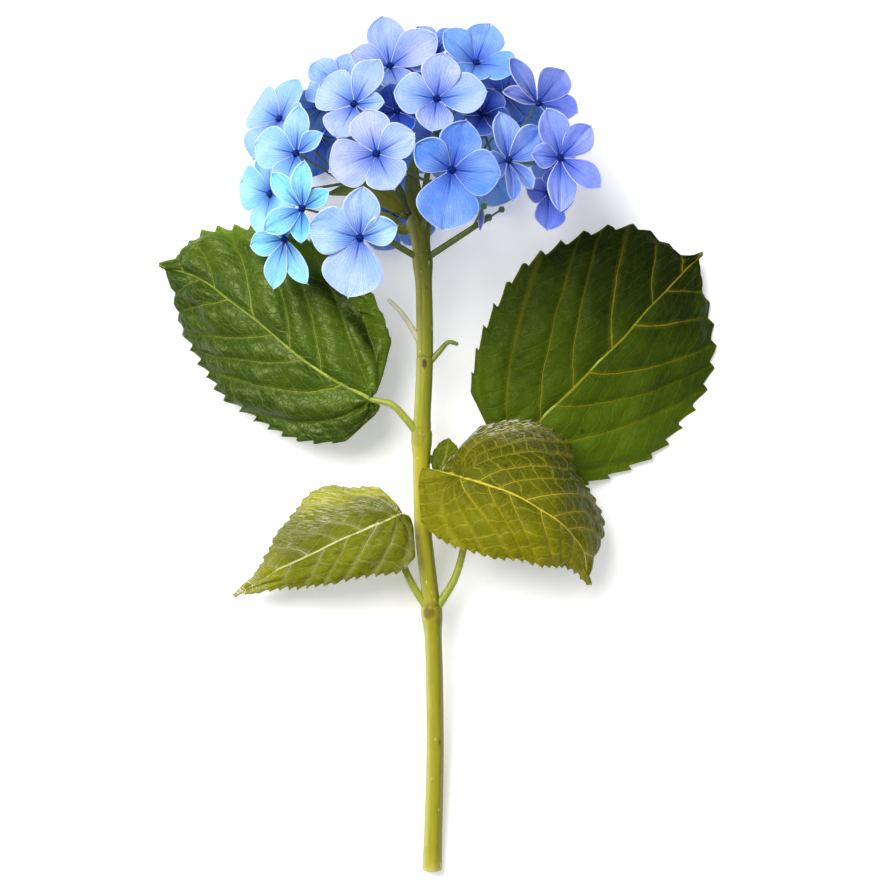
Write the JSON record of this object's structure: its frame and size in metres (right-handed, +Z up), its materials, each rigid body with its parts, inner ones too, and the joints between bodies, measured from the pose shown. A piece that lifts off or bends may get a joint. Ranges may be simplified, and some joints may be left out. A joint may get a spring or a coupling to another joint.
{
  "type": "cut hydrangea flower",
  "caption": "Cut stem of a blue mophead hydrangea lying on the back of its round flower head, with broad serrated leaves in two opposite pairs.",
  "frame": {"origin": "on the table, under the middle of the plant's bounding box", "axes": "+Y along the stem from the cut end towards the flower head, +Z up from the table, so that the face of the flower looks up; +X is to the right of somebody who looks down on it with the flower head away from them"},
  "size_m": [0.2566, 0.379, 0.0998],
  "materials": {
    "stem": "satin",
    "ray": "satin",
    "stub": "matte",
    "leaf_dark": "satin",
    "leaf_light": "satin",
    "sepal": "matte"
  },
  "bodies": {
    "root": {"floret_01": "sepal", "floret_02": "sepal", "floret_03": "sepal", "floret_04": "sepal", "floret_05": "sepal", "floret_06": "sepal", "floret_07": "sepal", "floret_08": "sepal", "floret_09": "sepal", "floret_10": "sepal", "floret_11": "sepal", "floret_12": "sepal", "floret_13": "sepal", "floret_14": "sepal", "floret_15": "sepal", "floret_16": "sepal", "floret_17": "sepal", "floret_18": "sepal", "floret_19": "sepal", "floret_20": "sepal", "floret_21": "sepal", "floret_22": "sepal", "floret_23": "sepal", "floret_24": "sepal", "floret_25": "sepal", "floret_26": "sepal", "floret_27": "sepal", "floret_28": "sepal", "floret_29": "sepal", "floret_30": "sepal", "floret_31": "sepal", "leaf_lower_left": "leaf_light", "leaf_lower_right": "leaf_light", "leaf_stub_left": "stub", "leaf_stub_right": "stub", "leaf_upper_left": "leaf_dark", "leaf_upper_right": "leaf_dark", "leaf_young": "leaf_light", "ray_back": "ray", "ray_back_left": "ray", "ray_back_right": "ray", "ray_crown": "ray", "ray_crown_left": "ray", "ray_front": "ray", "ray_left": "ray", "ray_lower_left": "ray", "ray_lower_right": "ray", "ray_right": "ray", "stem": "stem"}
  },
  "joints": []
}
